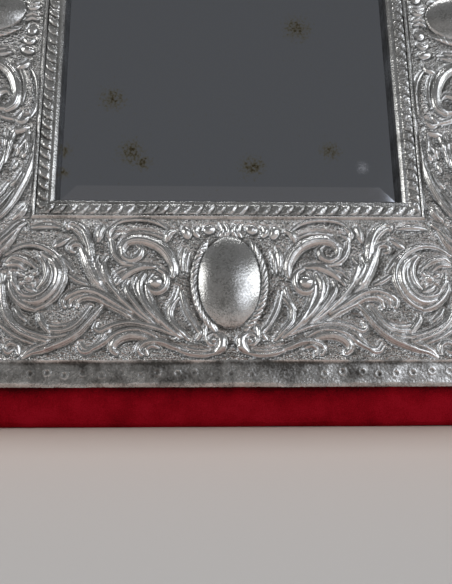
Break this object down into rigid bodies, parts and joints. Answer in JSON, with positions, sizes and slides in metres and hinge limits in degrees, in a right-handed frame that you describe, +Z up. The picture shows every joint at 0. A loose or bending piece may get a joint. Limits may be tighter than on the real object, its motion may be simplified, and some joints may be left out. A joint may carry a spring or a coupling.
{
  "type": "table mirror",
  "caption": "Free-standing rectangular mirror: a bevelled plate in a gadrooned, embossed silver-plated frame on a velvet-covered core, with a folding easel strut and a hanging ring.",
  "frame": {"origin": "on the table, in the middle of the stand: halfway between the frame's lower front edge and the back of the strut's foot", "axes": "+Z up, +X to the right as seen from the front, +Y from the front to the back"},
  "size_m": [0.606, 0.2474, 0.6573],
  "materials": {
    "wood": "planed, waxed",
    "velvet": "red cotton velvet",
    "silver_plate": "silver plate on brass sheet, polished on the high parts and dark in the recesses",
    "mirror": "old silvered glass, foxed",
    "card": "grey board",
    "brass": "aged",
    "steel": "dull"
  },
  "bodies": {
    "frame": {"core_bottom_rail": "wood", "core_top_rail": "wood", "core_left_stile": "wood", "core_right_stile": "wood", "corner_keys": "wood", "backboard": "wood", "velvet_bottom": "velvet", "velvet_top": "velvet", "velvet_left": "velvet", "velvet_right": "velvet", "embossed_panel_bottom": "silver_plate", "embossed_panel_top": "silver_plate", "embossed_panel_left": "silver_plate", "embossed_panel_right": "silver_plate", "sight_moulding_bottom": "silver_plate", "sight_moulding_top": "silver_plate", "sight_moulding_left": "silver_plate", "sight_moulding_right": "silver_plate", "mirror_plate": "mirror", "backing_card": "card", "strut_bracket": "brass", "hanging_strap": "brass", "bracket_screws": "brass", "strap_screws": "brass", "velvet_tacks": "brass", "strut_pin": "steel", "backboard_sprigs": "steel", "panel_pins": "steel"},
    "strut": {"easel_strut": "wood"},
    "ring": {"hanging_ring": "brass"}
  },
  "joints": [
    {"name": "strut_fold", "type": "hinge", "parent": "frame", "child": "strut", "pos_m": [0, 0.02326, 0.53514], "axis": [1, 0, 0], "range_deg": [-22, 0]},
    {"name": "ring_swing", "type": "hinge", "parent": "frame", "child": "ring", "pos_m": [0, 0.0272, 0.58951], "axis": [1, 0, 0], "range_deg": [-14, 150]}
  ]
}
